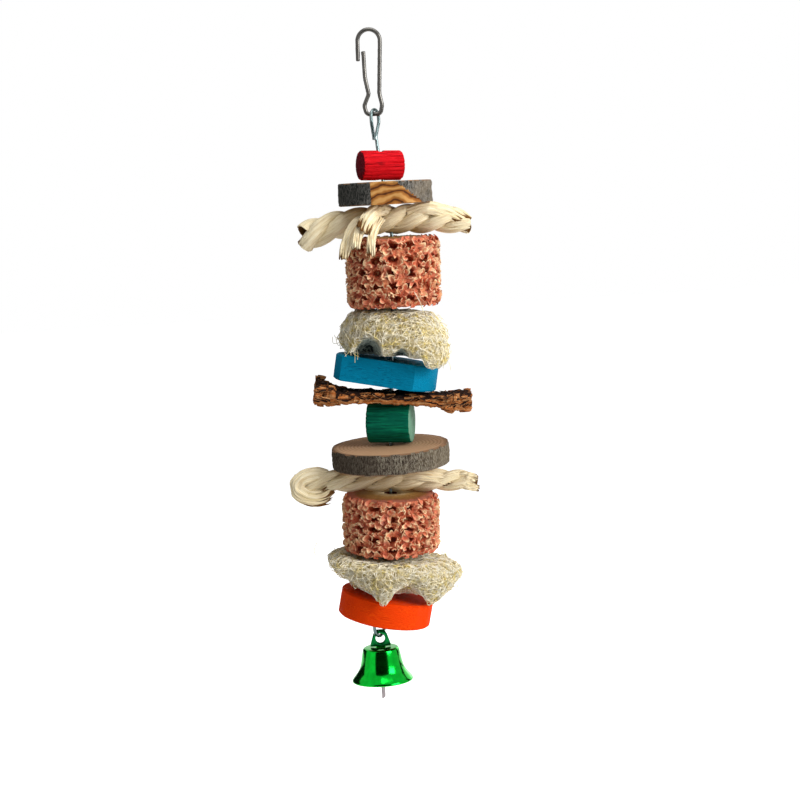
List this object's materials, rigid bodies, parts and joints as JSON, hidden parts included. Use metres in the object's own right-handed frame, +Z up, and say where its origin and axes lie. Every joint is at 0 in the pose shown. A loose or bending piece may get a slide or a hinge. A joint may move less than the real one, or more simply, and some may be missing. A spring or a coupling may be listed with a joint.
{
  "type": "hanging bird chew toy",
  "caption": "Hanging cage toy: a spring clip carries a bent wire threaded with dyed wood, branch slices, bark, corn cob, twisted husk and loofah, with a small bell below.",
  "frame": {"origin": "inner top of the clip's hook, where the cage bar bears", "axes": "+Z up along the hanging toy, +X to the right seen from the front, +Y away from the viewer"},
  "size_m": [0.0687, 0.0433, 0.2412],
  "materials": {
    "clip_steel": "bright drawn wire",
    "spindle_steel": "zinc-plated wire",
    "red_wood": "food dye on bare wood",
    "blue_wood": "food dye on bare wood",
    "green_wood": "food dye on bare wood",
    "orange_wood": "food dye on bare wood",
    "branch_wood": "sawn branch with its bark",
    "bark": "dry fibrous bark",
    "corn_cob": "dried corn cob with chaff",
    "corn_husk": "dried corn husk",
    "loofah": "dried loofah fibre",
    "green_bell": "bright green metallic lacquer"
  },
  "bodies": {
    "clip": {"hanging_clip": "clip_steel"},
    "spindle": {"spindle_wire": "spindle_steel"},
    "red_bead": {"red_bead": "red_wood"},
    "top_slice": {"top_slice": "branch_wood"},
    "upper_husk": {"upper_husk_strand_a": "corn_husk", "upper_husk_strand_b": "corn_husk", "upper_husk_strand_c": "corn_husk"},
    "upper_cob": {"upper_cob": "corn_cob"},
    "upper_loofah": {"upper_loofah": "loofah"},
    "blue_disc": {"blue_disc": "blue_wood"},
    "bark_strip": {"bark_strip": "bark"},
    "green_bead": {"green_bead": "green_wood"},
    "lower_slice": {"lower_slice": "branch_wood"},
    "lower_husk": {"lower_husk_strand_a": "corn_husk", "lower_husk_strand_b": "corn_husk", "lower_husk_strand_c": "corn_husk"},
    "lower_cob": {"lower_cob": "corn_cob"},
    "lower_loofah": {"lower_loofah": "loofah"},
    "orange_disc": {"orange_disc": "orange_wood"},
    "bell": {"bell_shell": "green_bell", "bell_hanger": "green_bell"},
    "clapper": {"clapper": "clip_steel"}
  },
  "joints": [
    {"name": "clip_swing", "type": "hinge", "parent": "clip", "child": "spindle", "pos_m": [0.0003, 0, -0.02898], "axis": [1, 0, 0], "range_deg": [-80, 80]},
    {"name": "red_bead_spin", "type": "hinge", "parent": "spindle", "child": "red_bead", "pos_m": [0.00119, 0, -0.0471], "axis": [0.0419, 0, 0.9991], "continuous": true},
    {"name": "top_slice_spin", "type": "hinge", "parent": "spindle", "child": "top_slice", "pos_m": [0.00237, 0, -0.057], "axis": [0.0087, 0, 1], "continuous": true},
    {"name": "upper_husk_spin", "type": "hinge", "parent": "spindle", "child": "upper_husk", "pos_m": [0.0035, 0, -0.06651], "axis": [0, 0, 1], "continuous": true},
    {"name": "upper_cob_spin", "type": "hinge", "parent": "spindle", "child": "upper_cob", "pos_m": [0.00352, 0, -0.08489], "axis": [0.0175, 0, 0.9998], "continuous": true},
    {"name": "upper_loofah_spin", "type": "hinge", "parent": "spindle", "child": "upper_loofah", "pos_m": [0.00172, 0, -0.10681], "axis": [0.1028, 0, 0.9947], "continuous": true},
    {"name": "blue_disc_spin", "type": "hinge", "parent": "spindle", "child": "blue_disc", "pos_m": [0.00056, 0, -0.12101], "axis": [0.1874, 0, 0.9823], "continuous": true},
    {"name": "bark_strip_spin", "type": "hinge", "parent": "spindle", "child": "bark_strip", "pos_m": [-0.00009, 0, -0.12906], "axis": [0.108, 0, 0.9942], "continuous": true},
    {"name": "green_bead_spin", "type": "hinge", "parent": "spindle", "child": "green_bead", "pos_m": [-0.00074, 0, -0.13892], "axis": [0.0279, -0.0244, 0.9993], "continuous": true},
    {"name": "lower_slice_spin", "type": "hinge", "parent": "spindle", "child": "lower_slice", "pos_m": [-0.00139, 0, -0.15069], "axis": [-0.007, -0.0558, 0.9984], "continuous": true},
    {"name": "lower_husk_spin", "type": "hinge", "parent": "spindle", "child": "lower_husk", "pos_m": [-0.00191, 0, -0.15992], "axis": [0.0523, -0.0454, 0.9976], "continuous": true},
    {"name": "lower_cob_spin", "type": "hinge", "parent": "spindle", "child": "lower_cob", "pos_m": [-0.00275, 0, -0.17503], "axis": [0.0418, -0.0419, 0.9982], "continuous": true},
    {"name": "lower_loofah_spin", "type": "hinge", "parent": "spindle", "child": "lower_loofah", "pos_m": [-0.00617, 0, -0.19309], "axis": [0.1322, -0.0384, 0.9905], "continuous": true},
    {"name": "orange_disc_spin", "type": "hinge", "parent": "spindle", "child": "orange_disc", "pos_m": [-0.00861, 0, -0.20551], "axis": [0.2214, -0.0349, 0.9746], "continuous": true},
    {"name": "bell_swing", "type": "hinge", "parent": "spindle", "child": "bell", "pos_m": [-0.0094, 0, -0.21703], "axis": [0.5736, 0.8192, 0], "range_deg": [-35, 35]},
    {"name": "clapper_swing", "type": "hinge", "parent": "bell", "child": "clapper", "pos_m": [-0.0094, 0, -0.22458], "axis": [1, 0, 0], "range_deg": [-30, 30]}
  ]
}
